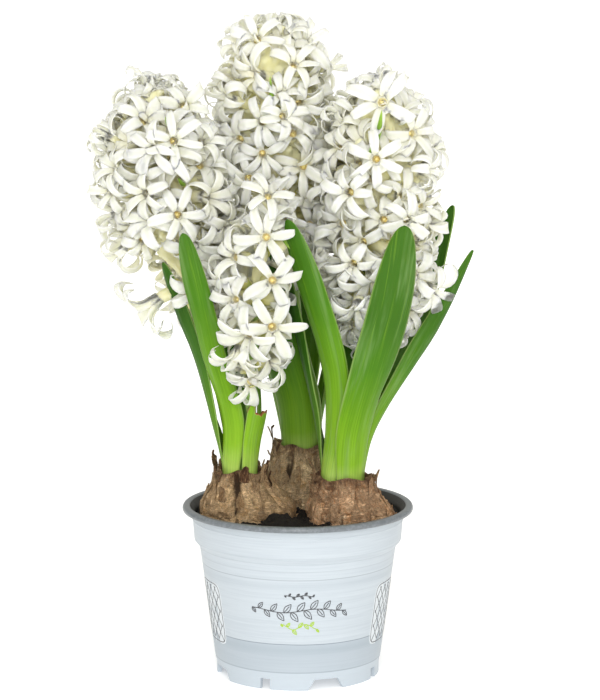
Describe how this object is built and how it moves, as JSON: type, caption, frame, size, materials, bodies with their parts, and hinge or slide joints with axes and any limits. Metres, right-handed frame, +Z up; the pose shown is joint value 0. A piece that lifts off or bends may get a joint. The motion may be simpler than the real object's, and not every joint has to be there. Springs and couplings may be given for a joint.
{
  "type": "potted hyacinth plant",
  "caption": "White hyacinths in bloom with strap leaves, growing from bulbs in a round tapered nursery pot of peat.",
  "frame": {"origin": "middle of the plant's bounding box in X and Y, on the surface the pot stands on", "axes": "+Z up along the pot's axis, -Y towards the viewer, +X to the viewer's right"},
  "size_m": [0.1962, 0.131, 0.3406],
  "materials": {
    "pot_plastic": "satin moulded plastic, pale blue-white wood-plank print on the wall, grey-blue rim",
    "peat": "dark crumbly peat",
    "bulb_skin": "papery brown tunic, wrinkled, torn at the neck",
    "leaf": "smooth waxy strap leaf with fine parallel veins",
    "flower_stem": "smooth juicy green stem",
    "petal": "waxy white petals, cream at the tube"
  },
  "bodies": {
    "root": {"pot": "pot_plastic", "soil": "peat", "bulb_left": "bulb_skin", "bulb_back": "bulb_skin", "bulb_right": "bulb_skin", "leaf_left_front": "leaf", "leaf_left_torn": "leaf", "leaf_left_inner": "leaf", "leaf_left_slim": "leaf", "leaf_left_rear": "leaf", "leaf_left_back": "leaf", "leaf_back_front": "leaf", "leaf_back_right": "leaf", "leaf_back_left": "leaf", "leaf_back_rear": "leaf", "leaf_right_left": "leaf", "leaf_right_front": "leaf", "leaf_right_outer": "leaf", "leaf_right_rear": "leaf", "leaf_right_inner": "leaf", "leaf_right_shade": "leaf", "stem_left": "flower_stem", "stem_second": "flower_stem", "stem_back": "flower_stem", "stem_right": "flower_stem", "head_left": "petal", "head_second": "petal", "head_back": "petal", "head_right": "petal"}
  },
  "joints": []
}
